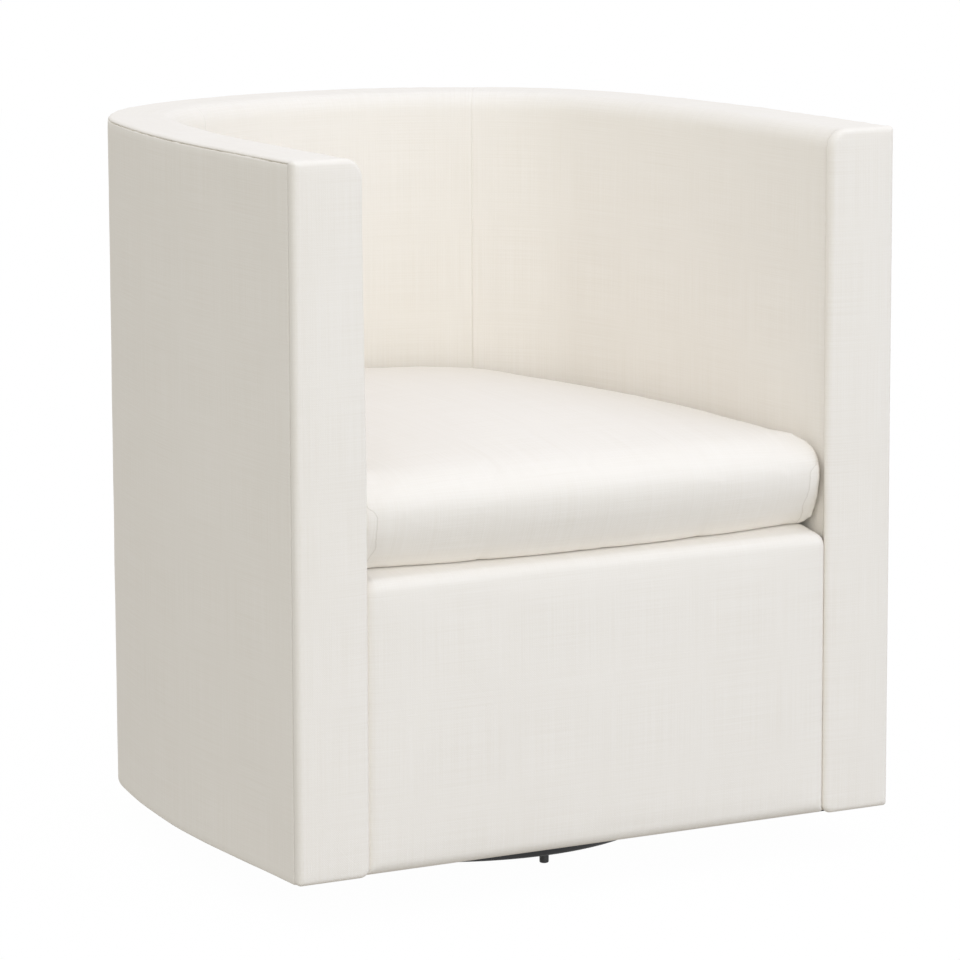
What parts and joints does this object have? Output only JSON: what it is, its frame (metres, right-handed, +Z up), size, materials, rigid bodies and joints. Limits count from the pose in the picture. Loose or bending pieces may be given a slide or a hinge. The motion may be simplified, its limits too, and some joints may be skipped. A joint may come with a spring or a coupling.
{
  "type": "swivel barrel chair",
  "caption": "Upholstered barrel armchair with a curved back running into straight arms, a loose D-shaped seat cushion and a low round swivel base.",
  "frame": {"origin": "on the swivel axis at floor level, which is the middle of the bounding box's underside", "axes": "+Z up along the swivel axis; the front of the seat faces -Y; +X is the right-hand arm as seen from the front"},
  "size_m": [0.711, 0.706, 0.778],
  "materials": {
    "ivory_fabric": "matte",
    "padding": "matte",
    "foam": "matte",
    "plywood": "matte",
    "fibreboard": "matte",
    "hardwood": "matte",
    "spring_steel": "satin",
    "burlap": "matte",
    "dust_cloth": "matte",
    "black_steel": "satin",
    "zinc_steel": "satin",
    "black_plastic": "matte",
    "zip_tape": "matte"
  },
  "bodies": {
    "base": {"base_ring": "black_steel", "base_cross": "black_steel", "lower_swivel_plate": "zinc_steel", "center_pin": "zinc_steel", "glide_1": "black_plastic", "glide_2": "black_plastic", "glide_3": "black_plastic", "glide_4": "black_plastic"},
    "cage": {"ball_cage": "zinc_steel"},
    "chair": {"upper_swivel_plate": "zinc_steel", "swivel_bolt_1": "zinc_steel", "swivel_bolt_2": "zinc_steel", "swivel_bolt_3": "zinc_steel", "swivel_bolt_4": "zinc_steel", "bottom_panel": "plywood", "seat_rail": "plywood", "top_rail": "plywood", "front_board": "plywood", "outer_board": "fibreboard", "inner_board": "fibreboard", "spring_rail_front": "hardwood", "spring_rail_back": "hardwood", "arm_post_left": "hardwood", "side_post_left": "hardwood", "back_post_left": "hardwood", "arm_post_right": "hardwood", "side_post_right": "hardwood", "back_post_right": "hardwood", "seat_spring_1": "spring_steel", "seat_spring_2": "spring_steel", "seat_spring_3": "spring_steel", "seat_spring_4": "spring_steel", "seat_spring_5": "spring_steel", "spring_cloth": "burlap", "deck_pad": "foam", "inside_back_foam": "foam", "front_foam": "foam", "front_edge_roll": "foam", "deck_cloth": "ivory_fabric", "inside_back_cover": "ivory_fabric", "outside_back_cover": "ivory_fabric", "front_cover": "ivory_fabric", "outside_padding": "padding", "inside_arm_foam_left": "foam", "arm_front_foam_left": "foam", "inside_arm_cover_left": "ivory_fabric", "outside_arm_cover_left": "ivory_fabric", "arm_front_cover_left": "ivory_fabric", "arm_front_board_left": "plywood", "inside_arm_foam_right": "foam", "arm_front_foam_right": "foam", "inside_arm_cover_right": "ivory_fabric", "outside_arm_cover_right": "ivory_fabric", "arm_front_cover_right": "ivory_fabric", "arm_front_board_right": "plywood", "dust_cloth": "dust_cloth"},
    "cushion": {"cushion_cover": "ivory_fabric", "cushion_core": "foam", "zip_tape": "zip_tape"},
    "slider": {"zip_slider": "zinc_steel"}
  },
  "joints": [
    {"name": "swivel", "type": "hinge", "parent": "base", "child": "chair", "pos_m": [0, 0, 0.0374], "axis": [0, 0, 1], "continuous": true},
    {"name": "cage_turn", "type": "hinge", "parent": "base", "child": "cage", "pos_m": [0, 0, 0.0374], "axis": [0, 0, 1], "continuous": true},
    {"name": "cushion_lift", "type": "slide", "parent": "chair", "child": "cushion", "axis": [0, 0, 1], "range_m": [0, 0.45]},
    {"name": "zip_run", "type": "hinge", "parent": "cushion", "child": "slider", "pos_m": [0, -0.048, 0.3758], "axis": [0, 0, 1], "range_deg": [0, 49.4]}
  ],
  "couplings": [
    {"joint": "cage_turn", "follows": "swivel", "ratio": 0.5}
  ]
}
